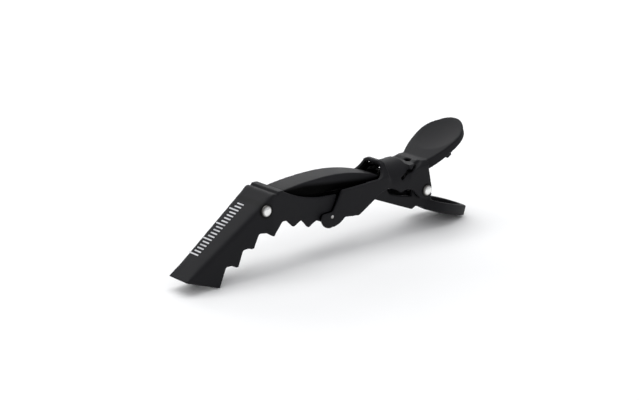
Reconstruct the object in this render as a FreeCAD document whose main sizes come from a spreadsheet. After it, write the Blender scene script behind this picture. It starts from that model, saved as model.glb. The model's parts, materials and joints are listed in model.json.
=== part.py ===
"""Sectioning clip: a long double-hinged hair clip with a toothed front jaw, an elastic bow and two thumb levers.

Everything is drawn about the knuckle pin (0, 0) with +X towards the levers, +Z up and Y across,
then moved so that the origin is under the middle of the clip, on the surface that it rests on.
"""
import FreeCAD, Part
import Sketcher
import math
import os
from collections import namedtuple

doc = FreeCAD.newDocument("sectioning_clip")
sheet = doc.addObject("Spreadsheet::Sheet", "size")

# ---------------------------------------------------------------- driving sizes
# Lengths in mm and angles in degrees. A value that starts with = follows from the others.
SIZES = {
    # the whole clip
    "nose_reach": 52.4,         # knuckle pin to the front edge of the nose
    "tail_reach": 58.6,         # knuckle pin to the end of the finger lever
    "stand_height": 12.6,       # knuckle pin above the surface that the clip lies on
    "centre_x": "=(nose_reach - tail_reach) / 2",
    # walls and fits
    "wall": 1.2,                # side walls of every moulding
    "roof": 1.1,                # roof of the front jaw
    "shell_roof": 1.3,          # roof of the rear jaw
    "body_gap": 0.35,           # side gap between pieces that move past each other
    "running_fit": 0.05,        # radial play of a pin in the piece that turns on it
    "line_fit": 0.01,           # radial play of a pin in the piece that holds it
    # rear jaw across the clip
    "cheek_y": 6.6,             # outer half width over the cheeks
    "lobe_inset": 0.4,          # how much narrower each side is at the knuckle lobes
    "lobe_y": "=cheek_y - lobe_inset",
    "shoulder_z": 7.9,          # where the slanted shoulders of the arch start
    "ridge_y": 3.9,
    "ridge_z": 11.6,
    "crown_y": 2.3,
    "crown_z": 12.4,
    "arch_length": 2.0,
    "barrel_z": 4.4,            # axis of the round roof behind the arch; its radius is cheek_y
    "crest_x": 31.3,            # front of the raised crest that carries the thumb lever
    "crest_shoulder_z": 8.4,
    "crest_y": 5.1,
    "crest_z": 9.95,
    "saddle_x": 35.6,           # front of the web that closes the space under the crest
    "saddle_low": 3.9,
    "window_x": 35.0,
    "window_y": 1.2,
    "window_width": 2.4,
    "window_length": 1.2,
    # front jaw across the clip
    "head_inset": 0.15,         # how much narrower each side is than the cheeks of the rear jaw
    "front_y": "=cheek_y - head_inset",     # outer half width at the crease of the head
    "nose_y": 4.1,              # outer half width at the nose
    "knuckle_y": "=cheek_y - wall - body_gap",
    # lower jaw across the clip
    "lower_nose_gap": 0.5,      # side gap to the front jaw at the nose
    "lower_head_gap": 0.75,     # side gap to the front jaw at the head
    "lower_nose_y": "=nose_y - wall - lower_nose_gap",
    "lower_head_y": "=front_y - wall - lower_head_gap",
    "lower_neck_y": "=knuckle_y - wall - body_gap",
    "lever_y": "=cheek_y - wall - body_gap",
    "lower_floor": 1.3,
    "notch_pitch": 2.8,
    "notch_depth": 1.1,
    # hinge pins and rivets
    "main_pin_x": 38.28,
    "main_pin_z": 0.32,
    "main_pin_r": 1.3,
    "front_pin_r": 0.9,
    "knuckle_pin_r": 0.5,
    "rivet_inset": 2.24,        # front rivet axis below the sloping face of the head, measured square to it
    "front_pin_x": -25.16,
    "rivet_head_r": 1.75,
    "rivet_head_rise": 0.85,
    "rivet_rim": 0.25,
    "rivet_seat": 0.2,          # depth of the flat seat under a rivet head
    "seat_play": 0.15,          # how much wider the seat is than the head, all round
    "peen_r": 1.6,
    "peen_rise": 0.7,
    "ear_r": 3.0,               # ears of the front jaw round the knuckle pins
    "lug_r": 3.3,               # ears of the lower jaw round the main pin
    # bow
    "bow_gap": 1.25,            # side gap to the walls of the front jaw
    "bow_y": "=front_y - wall - bow_gap",
    "bow_thick": 2.0,
    "bow_eye_r": 2.0,
    "bow_eye_flat": 0.6,
    "bow_front_sweep": 112,
    "bow_rear_sweep": 60,
    "bow_depth": 4.9,           # depth of the bow over the knuckle
    "bow_under_rear": 150,
    "bow_under_front": 42,
    "bow_web_gap": 0.55,        # side gap of the bow's web to the tail of the front jaw
    "bow_web_drop": 1.3,        # how far the web hangs below the bow
    "bow_ear_x": 28.6,
    "bow_ear_z": 6.3,
    # slots for the ears of the bow
    "slot_width": 1.0,
    "slot_length": 10.2,
    "slot_tilt": 24.5,
    "slot_start": 1.0,          # from the ear's resting centre back to the lower end of the slot
    "slot_reach": 0.8,          # how far the slot cuts past the inside of the cheek
    "slot_inner_y": "=cheek_y - wall - slot_reach",
    "slot_play": 0.1,
    "entry_length": 4.4,        # the far slot opens downwards here, to let the ears in
    "entry_low": 5.5,
    # levers
    "thumb_tilt": 28,
    "thumb_root_x": 38.6,
    "thumb_root_z": 9.3,
    "thumb_short": 2.0,         # how much sooner the face of the thumb lever ends
    "thumb_length": "=(tail_reach - thumb_short - thumb_root_x) / cos(thumb_tilt * 1deg)",
    "thumb_root_y": 5.0,
    "thumb_y": 8.25,
    "thumb_widest": 12.0,       # from the root of the lever to its widest place
    "thumb_end_y": 5.2,
    "thumb_end": 2.6,           # length of the rounded end
    "thumb_skirt": 3.5,
    "thumb_skirt_end": 1.4,
    "thumb_rib_x": 7.0,
    "thumb_rib_width": 2.0,
    "thumb_rib_drop": 0.7,       # how far the rib under the thumb lever hangs below its skirt
    "finger_tilt": 18,
    "finger_root_x": 39.0,
    "finger_root_z": -6.5,
    "finger_length": "=(tail_reach - finger_root_x - finger_skirt_end * sin(finger_tilt * 1deg)) / cos(finger_tilt * 1deg)",
    "finger_root_y": 4.8,
    "finger_y": 8.0,
    "finger_widest": 6.0,
    "finger_end_y": 5.2,
    "finger_end": 1.6,
    "finger_skirt": 3.4,
    "finger_skirt_end": 3.2,
    "lever_face": 1.3,
    "dish_depth": 0.5,
    # torsion spring
    "wire_r": 0.5,
    "coil_turns": 5,
    "coil_pitch": 1.12,
    "coil_play": 0.35,
    "upper_leg_tilt": 50,
    "upper_leg_length": 9.6,
    "lower_leg_tilt": 18,
    "lower_leg_length": 11.4,
    # groove and ridge behind the crease of the head
    "crease_flat": 1.1,
    "groove_width": 0.8,
    "groove_depth": 0.4,
    "ridge_rise": 0.45,
    # roundings and sweeps of the side outlines
    "tooth_round": 0.55,
    "tail_sweep": 42.0,
    "arch_round": 3.3,
    "lug_round": 3.0,
    "cusp_rear_sweep": 5.3,
    "cusp_front_sweep": 7.9,
    "lobe_sweep": 6.6,
    "lobe_nose_round": 3.45,
    "lobe_top_round": 1.5,
    "lever_back_round": 5.3,
}

# Corners of the side outlines, (x, z) from the knuckle pin.
CORNERS = {
    # front jaw
    "nose": ("=-nose_reach", -8.6),
    "nose_tooth": (-41.2, "=-stand_height"),
    "ear_heel": (-5.2, -0.3),
    "crease": (-22.8, 11.6),
    "roof_end": (-18.2, 11.5),
    "tail_top": (-3.0, 6.5),
    "tail_end": (2.8, 6.1),
    # rear jaw
    "cheek_top": (3.7, 7.5),
    "arch_foot": (18.2, 7.7),
    "arch_lip": (21.2, 10.9),
    "arch_top": (20.9, 12.4),
    "crest_front": ("=crest_x", "=barrel_z + cheek_y + 0.2"),
    "crest_dip": ("=crest_x + 0.2", "=crest_z - 0.5"),
    "crest_rise": ("=crest_x + 2.9", "=crest_z - 0.55"),
    "crest_top": ("=crest_x + 4.4", "=crest_z"),
    "valley": (39.33, 9.66),
    "heel": (39.1, 7.3),
    "heel_low": (40.4, 1.2),
    "lug_front": (35.5, -1.6),
    "arch2_rear": (34.0, -0.1),
    "cusp": (27.4, 1.7),
    "arch1_front": (16.9, 2.0),
    "belly": (10.4, -1.7),
    "lobe_rear": (4.8, -1.1),
    "lobe_low": (0.2, -3.25),
    "lobe_front": (-4.2, -0.1),
    "lobe_top": (-3.2, 1.4),
    "lobe_root": (0.1, 1.45),
    "gap_low": (1.0, 2.7),
    # lower jaw
    "lower_nose": ("=-nose_reach + 5.9", -9.8),
    "lower_nose_top": ("=-nose_reach + 6.1", -8.0),
    "lower_chin": (-38.3, -6.3),
    "lower_brow": (-26.5, 1.3),
    "lower_throat": (-17.9, 3.0),
    "lower_knuckle": (-5.0, 1.4),
    "lower_belly": (8.0, 0.0),
    "lower_step": (14.5, 0.9),
    "lever_front": (18.3, 1.1),
    "lever_corner": (33.7, -5.3),
    "lever_nick": (35.4, -4.5),
    "lever_heel": (42.0, -7.2),
    "lever_shoulder": (35.0, 3.4),
    "lower_scoop_end": (33.4, -0.9),
    "lower_scoop_mid": (28.5, 0.2),
    "lower_scoop_start": (24.0, 1.7),
    "lower_scoop_edge": (22.6, 4.4),
    "lower_back": (12.0, 4.4),
    "lower_knuckle_top": (-4.0, 4.6),
    "lower_throat_top": (-18.5, 6.0),
    "lower_brow_top": (-25.6, 4.4),
}

# Teeth of the front jaw from the rear towards the nose: tip, shoulder and root, (x, z) from the knuckle pin.
# Each tip drops steeply from the root behind it and runs on to a shoulder and a root in front of it.
# The last tooth is the nose itself, which the clip rests on.
TEETH = (
    ((-8.5, -1.75), (-11.0, 1.1), (-11.7, 1.1)),
    ((-14.5, -0.1), (-17.2, 2.5), (-19.0, 2.6)),
    ((-22.3, -1.15), (-24.9, 0.5), (-27.5, 0.8)),
    ((-29.5, -3.5), (-31.2, -2.85), (-33.0, -2.95)),
    ((-34.9, -7.95), (-37.1, -6.75), (-38.9, -6.85)),
)


def fill_sheet():
    """Writes every driving size, corner and tooth into the sheet, each under its own alias."""
    cells = dict(SIZES)
    for name, (x, z) in CORNERS.items():
        cells[name + "_x"] = x
        cells[name + "_z"] = z
    for number, tooth in enumerate(TEETH, 1):
        for part_name, (x, z) in zip(("tip", "shoulder", "root"), tooth):
            cells[f"tooth{number}_{part_name}_x"] = x
            cells[f"tooth{number}_{part_name}_z"] = z
    for row, (alias, content) in enumerate(cells.items(), 1):
        sheet.set(f"A{row}", alias)
        sheet.set(f"B{row}", str(content))
        sheet.setAlias(f"B{row}", alias)
    doc.recompute()


def read(expression):
    """The number that an expression of sheet values comes to."""
    result = sheet.evalExpression(expression)
    return float(getattr(result, "Value", result))


# ---------------------------------------------------------------- drawing helpers
def origin_plane(body, role):
    return next(f for f in body.Origin.OriginFeatures if f.Role == role)


def spot(item):
    """The two expressions of an outline's corner, which is a named corner or already a pair."""
    if isinstance(item, str):
        return f"size.{item}_x", f"size.{item}_z"
    return item


Arc = namedtuple("Arc", "corner radius")


def arc_between(start, end, radius):
    """A minor arc from start to end. Its centre is to the left of the way for a positive radius."""
    chord = end - start
    middle = (start + end) * 0.5
    left = FreeCAD.Vector(-chord.y, chord.x, 0).normalize()
    reach = math.sqrt(max(radius * radius - chord.Length ** 2 / 4, 0.0))
    centre = middle + left * math.copysign(reach, radius)
    outward = (middle - centre).normalize()
    if reach < 1e-9:
        outward = left * math.copysign(-1, radius)
    return Part.Arc(start, centre + outward * abs(radius), end)


def draw(body, name, plane, outline):
    """A closed sketch on an origin plane, every corner held by the sheet.

    An outline item is a corner's name or a pair of expressions. An Arc item's corner is reached along
    an arc, which has its centre on the left of the way, or on the right if its radius starts with a minus.
    """
    sketch = body.newObject("Sketcher::SketchObject", name)
    sketch.AttachmentSupport = [(origin_plane(body, plane + "_Plane"), "")]
    sketch.MapMode = "FlatFace"
    corners = [spot(item.corner if isinstance(item, Arc) else item) for item in outline]
    radii = [item.radius if isinstance(item, Arc) else None for item in outline]
    points = [FreeCAD.Vector(read(a), read(b), 0) for a, b in corners]
    count = len(points)
    turned = []
    for k in range(count):
        start, end, radius = points[k], points[(k + 1) % count], radii[(k + 1) % count]
        if radius is None:
            sketch.addGeometry(Part.LineSegment(start, end))
            turned.append(False)
        else:
            bend = sketch.addGeometry(arc_between(start, end, read(radius)))
            turned.append(read(radius) < 0)
            held = sketch.addConstraint(Sketcher.Constraint("Radius", bend, abs(read(radius))))
            sketch.setExpression(f"Constraints[{held}]", radius.lstrip("-"))
    for k in range(count):
        following = (k + 1) % count
        leaving, arriving = (1 if turned[k] else 2), (2 if turned[following] else 1)
        sketch.addConstraint(Sketcher.Constraint("Coincident", k, leaving, following, arriving))
    for k, (across, along) in enumerate(corners):
        vertex = 2 if turned[k] else 1
        for kind, number, expression in (("DistanceX", points[k].x, across), ("DistanceY", points[k].y, along)):
            held = sketch.addConstraint(Sketcher.Constraint(kind, -1, 1, k, vertex, number))
            sketch.setExpression(f"Constraints[{held}]", expression)
    return sketch


def new_body(name):
    return doc.addObject("PartDesign::Body", name)


def grow(body, name, sketch, length, side="Symmetric"):
    pad = body.newObject("PartDesign::Pad", name)
    pad.Profile = sketch
    pad.SideType = side
    pad.setExpression("Length", length)
    sketch.Visibility = False
    doc.recompute()
    return pad


def carve(body, name, sketch, length="4 * size.tail_reach", side="Symmetric", reverse=False):
    before = body.Shape.Volume
    pocket = body.newObject("PartDesign::Pocket", name)
    pocket.Profile = sketch
    pocket.SideType = side
    pocket.Reversed = reverse
    pocket.setExpression("Length", length)
    doc.recompute()
    if pocket.Shape.Volume >= before:
        raise RuntimeError(name + " removes nothing")
    return pocket


def rod(name, radius, x, z, low_y, high_y):
    """A cylinder across the clip, from low_y to high_y."""
    piece = doc.addObject("Part::Cylinder", name)
    piece.setExpression("Radius", radius)
    piece.setExpression("Height", f"({high_y}) - ({low_y})")
    piece.setExpression("Placement", f"placement(vector({x}; {low_y}; {z}); rotation(vector(1; 0; 0); -90))")
    return piece


def fuse(name, *pieces):
    joined = doc.addObject("Part::MultiFuse", name)
    joined.Shapes = list(pieces)
    joined.Refine = True
    return joined


def stand(piece, x="0", z="0"):
    """Moves a finished piece, drawn about its own axis at (x, z) from the knuckle pin, into the part's frame."""
    piece.setExpression("Placement", f"placement(vector(size.centre_x + ({x}); 0; size.stand_height + ({z}));"
                        " rotation(vector(0; 1; 0); 0))")
    return piece


def cut(name, base, *tools):
    result = doc.addObject("Part::Cut", name)
    result.Base = base
    result.Tool = tools[0] if len(tools) == 1 else fuse(name + "_tools", *tools)
    result.Refine = True
    return result


HEAD_SLOPE = "((size.crease_z - size.nose_z) / (size.crease_x - size.nose_x))"
HEAD_COS = f"cos(atan({HEAD_SLOPE}))"
FRONT_PIN_Z = (f"(size.crease_z + (size.front_pin_x - size.crease_x) * {HEAD_SLOPE}"
               f" - size.rivet_inset / {HEAD_COS})")


def head_line(x, depth):
    """Height of a line that runs the given depth under the sloping face of the head."""
    return f"size.crease_z + (({x}) - size.crease_x) * {HEAD_SLOPE} - ({depth}) / {HEAD_COS}"


# ---------------------------------------------------------------- front jaw
def front_outline():
    crease_end = "size.crease_x + size.crease_flat"
    groove_end = f"{crease_end} + size.groove_width"
    floor = "size.crease_z + 0.1 - size.groove_depth"
    ridge = "size.crease_z + size.ridge_rise"
    outline = [
        "nose",
        "crease",
        (crease_end, "size.crease_z + 0.1"),
        (f"{crease_end} + 0.1", floor),
        (groove_end, floor),
        (f"{groove_end} + 0.3", ridge),
        ("size.roof_end_x - 0.4", ridge),
        "roof_end",
        Arc("tail_top", "size.tail_sweep"),
        "tail_end",
        ("size.ear_r", "0"),
        Arc(("-size.ear_r * cos(30)", "-size.ear_r * sin(30)"), "-size.ear_r"),
        "ear_heel",
    ]
    for number in range(1, len(TEETH) + 1):
        outline += [f"tooth{number}_tip", f"tooth{number}_shoulder", f"tooth{number}_root"]
    return outline + ["nose_tooth"]


def across_edges(shape, low_x, high_x, high_z):
    """Names of the edges that run across the clip, below a height and between two stations."""
    names = []
    for number, edge in enumerate(shape.Edges, 1):
        box = edge.BoundBox
        flat = box.XLength < 1e-6 and box.ZLength < 1e-6 and box.YLength > 1
        if flat and low_x < box.XMin < high_x and box.ZMin < high_z:
            names.append(f"Edge{number}")
    return names


def soften(body, name, feature, edges, radius):
    fillet = body.newObject("PartDesign::Fillet", name)
    fillet.Base = (feature, edges)
    fillet.setExpression("Radius", radius)
    doc.recompute()
    return fillet


def side_trims(inset):
    """Plan outlines of what is cut off each side so that the head narrows to the nose and the tail."""
    far = "3 * size.front_y"
    stations = [
        ("-size.nose_reach - 2", f"size.nose_y - {inset}"),
        ("size.crease_x", f"size.front_y - {inset}"),
        ("-size.ear_r - 1.5", f"size.knuckle_y - {inset}"),
        ("size.tail_reach", f"size.knuckle_y - {inset}"),
        ("size.tail_reach", far),
        ("-size.nose_reach - 2", far),
    ]
    return stations, [(x, f"-({y})") for x, y in stations]


def front_jaw():
    shell = new_body("front_shell")
    pad = grow(shell, "front_sides", draw(shell, "front_outline", "XZ", front_outline()), "4 * size.front_y")
    teeth = across_edges(pad.Shape, read("size.tooth5_root_x") - 0.5, read("-size.ear_r - 1.5"), 4)
    soften(shell, "tooth_rounding", pad, teeth, "size.tooth_round")
    for side, trim in zip(("left", "right"), side_trims("0")):
        carve(shell, f"front_taper_{side}", draw(shell, f"front_plan_{side}", "XY", trim))
    hollow = new_body("front_hollow")
    sketch = draw(hollow, "front_hollow_outline", "XZ", [
        ("-size.nose_reach - 1", head_line("-size.nose_reach - 1", "size.roof")),
        ("size.crease_x - 0.3", head_line("size.crease_x - 0.3", "size.roof")),
        ("size.crease_x + 0.4", "size.crease_z + 0.3 - size.groove_depth - size.roof"),
        ("size.crease_x + 2.3", "size.crease_z + 0.3 - size.groove_depth - size.roof"),
        ("size.crease_x + 2.9", "size.crease_z + size.ridge_rise - size.roof"),
        ("size.roof_end_x - 0.2", "size.crease_z + size.ridge_rise - size.roof"),
        ("size.roof_end_x + 0.4", "size.crown_z + 2"),
        ("size.tail_reach", "size.crown_z + 2"),
        ("size.tail_reach", "-2 * size.stand_height"),
        ("-size.nose_reach - 1", "-2 * size.stand_height"),
    ])
    grow(hollow, "front_hollow_block", sketch, "4 * size.front_y")
    for side, trim in zip(("left", "right"), side_trims("size.wall")):
        carve(hollow, f"front_hollow_{side}", draw(hollow, f"front_hollow_plan_{side}", "XY", trim))
    reach = "size.front_y"
    pin_hole = rod("front_pin_hole", "size.front_pin_r + size.line_fit", "size.front_pin_x", FRONT_PIN_Z,
                   f"-2 * {reach}", f"2 * {reach}")
    face = "(size.front_y - (size.crease_x - size.front_pin_x) * (size.front_y - size.nose_y)" \
           " / (size.nose_reach + 2 + size.crease_x) - size.rivet_seat)"
    seats = [
        rod("front_seat_near", "size.rivet_head_r + size.seat_play", "size.front_pin_x", FRONT_PIN_Z, f"-2 * {reach}", f"-{face}"),
        rod("front_seat_far", "size.rivet_head_r + size.seat_play", "size.front_pin_x", FRONT_PIN_Z, face, f"2 * {reach}"),
    ]
    ear_hole = rod("ear_hole", "size.knuckle_pin_r + size.running_fit", "0", "0",
                   f"-2 * {reach}", f"2 * {reach}")
    return stand(cut("front_jaw", shell, hollow, pin_hole, *seats, ear_hole)), face


# ---------------------------------------------------------------- levers
def lever_outline(name, inset):
    """Plan outline of a lever: swept sides that widen from the root, narrow again and close in a round end."""
    length = f"(size.{name}_length - {inset})"
    root_y, half_y, end_y = (f"(size.{name}_{place}y - {inset})" for place in ("root_", "", "end_"))
    widest = f"size.{name}_widest"
    end_x = f"({length} - size.{name}_end)"
    start = f"{inset} * 0.5"
    front_sweep = f"(({widest} - ({start})) ^ 2 + ({half_y} - {root_y}) ^ 2) / (2 * ({half_y} - {root_y}))"
    rear_sweep = f"(({end_x} - {widest}) ^ 2 + ({half_y} - {end_y}) ^ 2) / (2 * ({half_y} - {end_y}))"
    end_round = f"(size.{name}_end ^ 2 + {end_y} ^ 2) / (2 * size.{name}_end)"
    return [
        (start, f"-{root_y}"),
        Arc((widest, f"-{half_y}"), front_sweep),
        Arc((end_x, f"-{end_y}"), rear_sweep),
        Arc((length, "0"), end_round),
        Arc((end_x, end_y), end_round),
        Arc((widest, half_y), rear_sweep),
        Arc((start, root_y), front_sweep),
    ]


def lever(name):
    """A plate with a skirt. Its face is at z = 0 and it runs along +X from its root."""
    plate = new_body(name + "_plate")
    skirt = f"size.{name}_skirt"
    block = grow(plate, name + "_block", draw(plate, name + "_plan", "XY", lever_outline(name, "0")), skirt, "One side")
    block.Reversed = True
    doc.recompute()
    slope = draw(plate, name + "_skirt_line", "XZ", [
        (f"-size.{name}_widest", f"-{skirt}"),
        ("0", f"-{skirt}"),
        (f"size.{name}_length", f"-size.{name}_skirt_end"),
        (f"2 * size.{name}_length", f"-size.{name}_skirt_end"),
        (f"2 * size.{name}_length", f"-2 * {skirt}"),
        (f"-size.{name}_widest", f"-2 * {skirt}"),
    ])
    carve(plate, name + "_skirt_slope", slope)
    hollow = draw(plate, name + "_hollow_plan", "XY", lever_outline(name, "size.wall"))
    hollow.setExpression("AttachmentOffset.Base.z", "-size.lever_face")
    carve(plate, name + "_hollow", hollow, skirt, "One side")
    return plate


def dish(name):
    """The ball that dishes the face of a lever by dish_depth over nearly its whole width."""
    ball = doc.addObject("Part::Sphere", name + "_dish")
    radius = f"((size.{name}_y - 0.8) ^ 2 + size.dish_depth ^ 2) / (2 * size.dish_depth)"
    ball.setExpression("Radius", radius)
    ball.setExpression("Placement.Base.x", f"size.{name}_widest")
    ball.setExpression("Placement.Base.z", f"{radius} - size.dish_depth")
    return ball


# ---------------------------------------------------------------- rear jaw
def shoulder_section(inset, base_z, ridge_y, ridge_z, crown_y, crown_z):
    """What is cut off above slanted shoulders and a flat crown, as a section across the clip."""
    high = "3 * size.crown_z"
    wide = "3 * size.cheek_y"
    half = [
        (wide, f"{base_z} - {inset} * 0.45"),
        (f"size.cheek_y - {inset}", f"{base_z} - {inset} * 0.45"),
        (f"{ridge_y} - {inset} * 0.5", f"{ridge_z} - {inset}"),
        (f"{crown_y} - {inset} * 0.2", f"{crown_z} - {inset}"),
    ]
    return half + [(f"-({y})", z) for y, z in reversed(half)] + [(f"-{wide}", high), (wide, high)]


def barrel_section(inset):
    """What is cut off above the round roof between the arch and the crest."""
    high = "3 * size.crown_z"
    wide = "3 * size.cheek_y"
    radius = f"(size.cheek_y - {inset})"
    return [
        (wide, "size.barrel_z"),
        (radius, "size.barrel_z"),
        Arc(("0", f"size.barrel_z + {radius}"), radius),
        Arc((f"-{radius}", "size.barrel_z"), radius),
        (f"-{wide}", "size.barrel_z"),
        (f"-{wide}", high),
        (wide, high),
    ]


def trim_roof(body, inset):
    """Shapes the top of the rear jaw in three zones: the arch, the round roof and the crest."""
    arch_end = "size.arch_top_x + size.arch_length"
    zones = (
        ("arch", "-size.tail_reach", arch_end,
         shoulder_section(inset, "size.shoulder_z", "size.ridge_y", "size.ridge_z", "size.crown_y", "size.crown_z")),
        ("barrel", arch_end, "size.crest_x", barrel_section(inset)),
        ("crest", "size.crest_x", "2 * size.tail_reach",
         shoulder_section(inset, "size.crest_shoulder_z", "size.crest_y", "size.crest_z", "size.crown_y",
                          "size.crest_z + 0.05")),
    )
    for name, start, end, section in zones:
        sketch = draw(body, f"{body.Name}_{name}_section", "YZ", section)
        sketch.setExpression("AttachmentOffset.Base.z", f"(({start}) + ({end})) / 2")
        carve(body, f"{body.Name}_{name}", sketch, f"({end}) - ({start})")


def rear_jaw():
    shell = new_body("rear_shell")
    outline = [
        "cheek_top",
        "arch_foot",
        Arc("arch_lip", "size.arch_round"),
        "arch_top",
        "crest_front",
        "crest_dip",
        "crest_rise",
        "crest_top",
        "valley",
        "heel",
        "heel_low",
        Arc("lug_front", "-size.lug_round"),
        "arch2_rear",
        Arc("cusp", "size.cusp_rear_sweep"),
        Arc("arch1_front", "size.cusp_front_sweep"),
        "belly",
        "lobe_rear",
        Arc("lobe_low", "-size.lobe_sweep"),
        Arc("lobe_front", "-size.lobe_nose_round"),
        Arc("lobe_top", "-size.lobe_top_round"),
        "lobe_root",
        "gap_low",
    ]
    grow(shell, "rear_sides", draw(shell, "rear_outline", "XZ", outline), "2 * size.cheek_y")
    trim_roof(shell, "0")
    lobe_trim = [
        ("-size.nose_reach", "size.lobe_y - 1.6"),
        ("size.lobe_rear_x + 2", "size.cheek_y"),
        ("size.lobe_rear_x + 2", "3 * size.cheek_y"),
        ("-size.nose_reach", "3 * size.cheek_y"),
    ]
    carve(shell, "lobe_taper_far", draw(shell, "lobe_plan_far", "XY", lobe_trim))
    carve(shell, "lobe_taper_near", draw(shell, "lobe_plan_near", "XY", [(x, f"-({y})") for x, y in lobe_trim]))
    hollow = new_body("rear_hollow")
    sketch = draw(hollow, "rear_hollow_outline", "XZ", [
        ("-size.nose_reach", "-2 * size.stand_height"),
        ("-size.nose_reach", "size.arch_top_z - size.shell_roof"),
        ("size.crest_x", "size.arch_top_z - size.shell_roof"),
        ("size.crest_x", "size.crest_z - size.shell_roof"),
        ("size.valley_x", "size.valley_z - size.shell_roof"),
        ("size.tail_reach", "size.valley_z - size.shell_roof"),
        ("size.tail_reach", "-2 * size.stand_height"),
    ])
    grow(hollow, "rear_hollow_block", sketch, "2 * (size.cheek_y - size.wall)")
    trim_roof(hollow, "size.wall")
    saddle = doc.addObject("Part::Box", "saddle_web")
    saddle_half = "(size.cheek_y - size.wall / 2)"
    saddle.setExpression("Length", "size.wall")
    saddle.setExpression("Width", f"2 * {saddle_half}")
    saddle.setExpression("Height", "size.valley_z - size.shell_roof / 2 - size.saddle_low")
    saddle.setExpression("Placement", f"placement(vector(size.saddle_x; -{saddle_half}; size.saddle_low);"
                         " rotation(vector(0; 1; 0); 0))")
    thumb = lever("thumb")
    rib = doc.addObject("Part::Box", "thumb_rib")
    rib_half = "(size.thumb_y - 1.1 * size.wall)"
    rib.setExpression("Length", "size.thumb_rib_width")
    rib.setExpression("Width", f"2 * {rib_half}")
    rib.setExpression("Height", "size.thumb_skirt - size.lever_face / 2 + size.thumb_rib_drop")
    rib.setExpression("Placement", f"placement(vector(size.thumb_rib_x; -{rib_half};"
                      " -size.thumb_skirt - size.thumb_rib_drop); rotation(vector(0; 1; 0); 0))")
    thumb_top = cut("thumb_top", fuse("thumb_ribbed", thumb, rib), dish("thumb"))
    thumb_top.setExpression("Placement", "placement(vector(size.thumb_root_x; 0; size.thumb_root_z);"
                            " rotation(vector(0; 1; 0); -size.thumb_tilt))")
    blank = fuse("rear_blank", cut("rear_channel", shell, hollow), saddle, thumb_top)
    wide = "2 * size.cheek_y"
    tools = [
        rod("main_pin_hole", "size.main_pin_r + size.line_fit", "size.main_pin_x", "size.main_pin_z", f"-{wide}", wide),
        rod("knuckle_hole", "size.knuckle_pin_r + size.line_fit", "0", "0", f"-{wide}", wide),
        rod("main_seat_near", "size.rivet_head_r + size.seat_play", "size.main_pin_x", "size.main_pin_z", f"-{wide}",
            "-(size.cheek_y - size.rivet_seat)"),
        rod("main_seat_far", "size.rivet_head_r + size.seat_play", "size.main_pin_x", "size.main_pin_z",
            "size.cheek_y - size.rivet_seat", wide),
    ]
    for side, low_y in (("near", "-2 * size.cheek_y"), ("far", "size.slot_inner_y")):
        slot = doc.addObject("Part::Box", f"slot_{side}")
        slot.setExpression("Length", "size.slot_length")
        slot.setExpression("Width", "2 * size.cheek_y - size.slot_inner_y")
        slot.setExpression("Height", "size.slot_width")
        slot.setExpression(
            "Placement",
            "placement(vector("
            "size.bow_ear_x - size.slot_start * cos(size.slot_tilt) + size.slot_width / 2 * sin(size.slot_tilt);"
            f" {low_y};"
            " size.bow_ear_z - size.slot_start * sin(size.slot_tilt) - size.slot_width / 2 * cos(size.slot_tilt));"
            " rotation(vector(0; 1; 0); -size.slot_tilt))")
        tools.append(slot)
    entry = doc.addObject("Part::Box", "slot_entry")
    entry.setExpression("Length", "size.entry_length")
    entry.setExpression("Width", "2 * size.wall")
    entry.setExpression("Height", "size.bow_ear_z + size.slot_width / 2 - size.entry_low")
    entry.setExpression("Placement", "placement(vector(size.bow_ear_x - size.slot_start; size.cheek_y - 1.5 * size.wall;"
                        " size.entry_low); rotation(vector(0; 1; 0); 0))")
    tools.append(entry)
    window = doc.addObject("Part::Box", "saddle_window")
    window.setExpression("Length", "size.window_length")
    window.setExpression("Width", "size.window_width")
    window.setExpression("Height", "4 * size.shell_roof")
    window.setExpression("Placement", "placement(vector(size.window_x - size.window_length / 2;"
                         " -size.window_y - size.window_width / 2; size.crest_z - 3 * size.shell_roof);"
                         " rotation(vector(0; 1; 0); 0))")
    tools.append(window)
    return stand(cut("rear_jaw", blank, *tools))


# ---------------------------------------------------------------- lower jaw
def lower_trims(inset):
    """Plan outlines of what is cut off each side of the lower jaw."""
    far = "3 * size.front_y"
    stations = [
        ("-size.nose_reach", f"size.lower_nose_y - {inset}"),
        ("size.crease_x - 2", f"size.lower_head_y - {inset}"),
        ("size.lower_throat_x", f"size.lower_head_y - {inset}"),
        ("size.lower_knuckle_x", f"size.lower_neck_y - {inset}"),
        ("size.ear_r * 2.2", f"size.lower_neck_y - {inset}"),
        ("size.ear_r * 4", f"size.lever_y - {inset}"),
        ("size.tail_reach", f"size.lever_y - {inset}"),
        ("size.tail_reach", far),
        ("-size.nose_reach", far),
    ]
    return stations, [(x, f"-({y})") for x, y in stations]


def grip_comb():
    """The saw that cuts the small upward teeth of the lower jaw, drawn along +X from the nose end."""
    comb = new_body("grip_comb")
    count = 8
    outline = [("0", "size.notch_depth")]
    for number in range(count):
        outline.append((f"{number} * size.notch_pitch + 0.1", "0.4 * size.notch_depth"))
        outline.append((f"({number} + 0.25) * size.notch_pitch", "-0.8 * size.notch_depth"))
        outline.append((f"({number} + 0.95) * size.notch_pitch", "0.4 * size.notch_depth"))
    outline.append((f"{count} * size.notch_pitch", "size.notch_depth"))
    grow(comb, "grip_comb_block", draw(comb, "grip_comb_outline", "XZ", outline), "4 * size.front_y")
    rise = "atan((size.lower_brow_top_z - size.lower_nose_top_z) / (size.lower_brow_top_x - size.lower_nose_top_x))"
    comb.setExpression("Placement", "placement(vector(size.lower_nose_top_x + 1; 0; size.lower_nose_top_z + 0.6);"
                       f" rotation(vector(0; 1; 0); -{rise}))")
    return comb


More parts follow.
